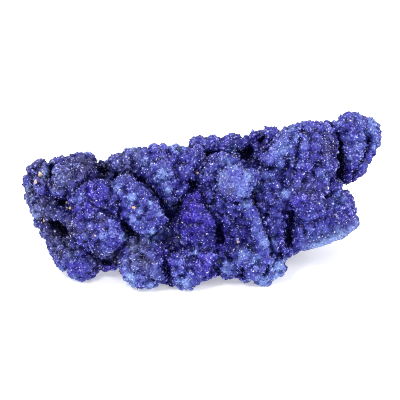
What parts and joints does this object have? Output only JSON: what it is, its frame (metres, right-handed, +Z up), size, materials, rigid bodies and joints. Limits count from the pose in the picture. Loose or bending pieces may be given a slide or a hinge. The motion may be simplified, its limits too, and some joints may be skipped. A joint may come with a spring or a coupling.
{
  "type": "azurite mineral specimen",
  "caption": "Knobbly blue azurite cluster with a sparkling druse of small crystals, standing on its own rounded feet as a display specimen.",
  "frame": {"origin": "on the surface the specimen stands on, under the middle of its bounding box", "axes": "+X along the specimen's length, towards its raised head; +Z up; the display side faces -Y"},
  "size_m": [0.0722, 0.0326, 0.0295],
  "materials": {
    "azurite": "rough botryoidal surface covered in glassy deep-blue crystals"
  },
  "bodies": {
    "root": {"azurite_cluster": "azurite"}
  },
  "joints": []
}
